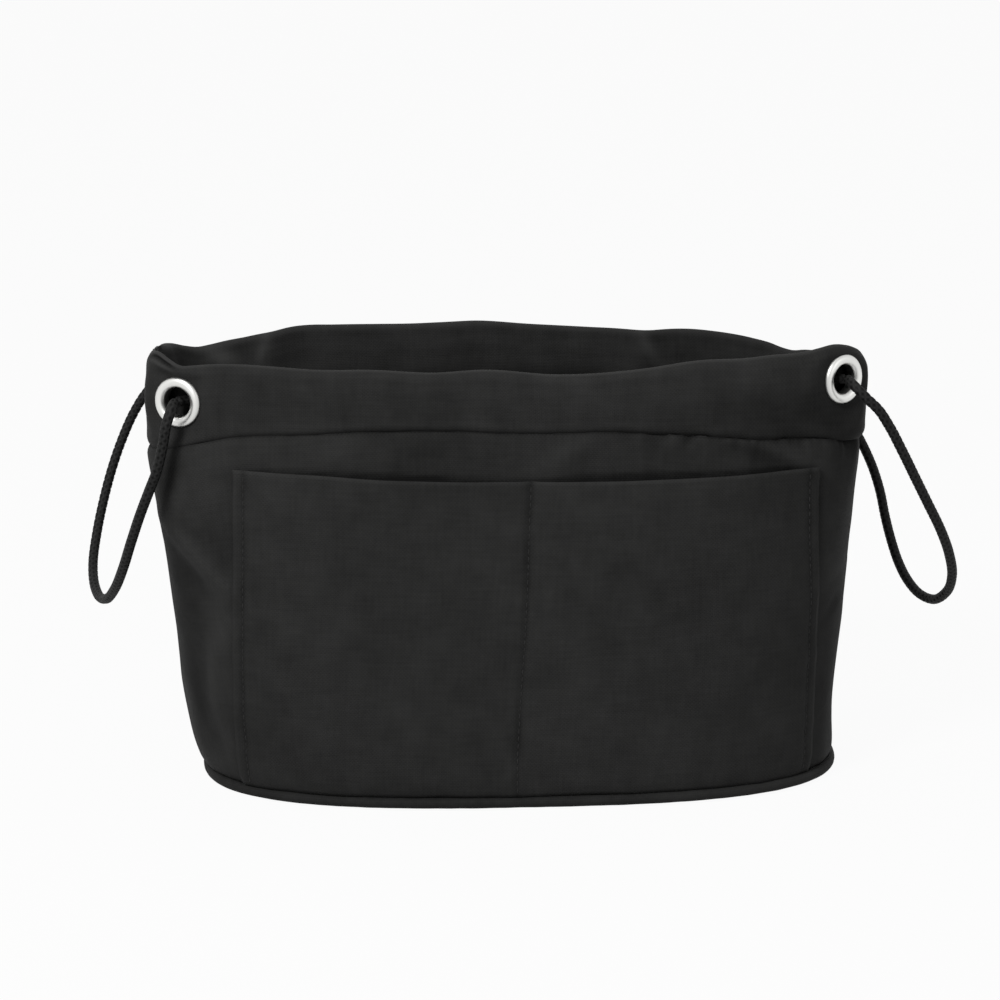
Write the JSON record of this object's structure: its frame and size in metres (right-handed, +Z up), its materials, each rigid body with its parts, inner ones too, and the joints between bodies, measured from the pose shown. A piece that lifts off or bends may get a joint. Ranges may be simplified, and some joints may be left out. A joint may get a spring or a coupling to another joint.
{
  "type": "purse organizer insert",
  "caption": "Soft open-topped nylon bag insert with a flat oval base, patch and slip pockets, and a drawcord that runs in a rim channel and hangs in a loop at each side.",
  "frame": {"origin": "on the floor under the middle of the rim: the bottom centre of the bag's box, without the hanging cord loops", "axes": "+X to the right along the bag's longest side, -Y out of the pictured front, +Z up"},
  "size_m": [0.2617, 0.1104, 0.1326],
  "materials": {
    "nylon": "matte fine-woven black nylon",
    "lining": "thin smooth black lining",
    "foam": "thin soft black interlining",
    "board": "thin stiff board",
    "piping": "black nylon rolled over a filler cord",
    "metal": "polished nickel plate",
    "cord": "black braided cord"
  },
  "bodies": {
    "bag": {"base_panel": "nylon", "base_board": "board", "base_lining": "lining", "base_piping": "piping", "outer_front_panel": "nylon", "outer_back_panel": "nylon", "front_interlining": "foam", "back_interlining": "foam", "lining_front_panel": "lining", "lining_back_panel": "lining", "front_channel": "nylon", "back_channel": "nylon", "front_left_eyelet": "metal", "front_right_eyelet": "metal", "back_right_eyelet": "metal", "back_left_eyelet": "metal", "front_left_washer": "metal", "front_right_washer": "metal", "back_right_washer": "metal", "back_left_washer": "metal", "front_cord_run": "cord", "back_left_cord_run": "cord", "back_right_cord_run": "cord", "cord_joiner": "metal", "front_pocket_panel": "nylon", "back_pocket_panel": "nylon", "inner_front_pocket": "lining", "inner_back_pocket": "lining"},
    "left_loop": {"left_cord_loop": "cord"},
    "right_loop": {"right_cord_loop": "cord"}
  },
  "joints": [
    {"name": "left_loop_swing", "type": "hinge", "parent": "bag", "child": "left_loop", "pos_m": [-0.09604, 0, 0.11557], "axis": [0, 0.996, -0.0891], "range_deg": [0, 150]},
    {"name": "right_loop_swing", "type": "hinge", "parent": "bag", "child": "right_loop", "pos_m": [0.09641, 0, 0.1166], "axis": [0, -0.9867, 0.1624], "range_deg": [0, 150]}
  ]
}
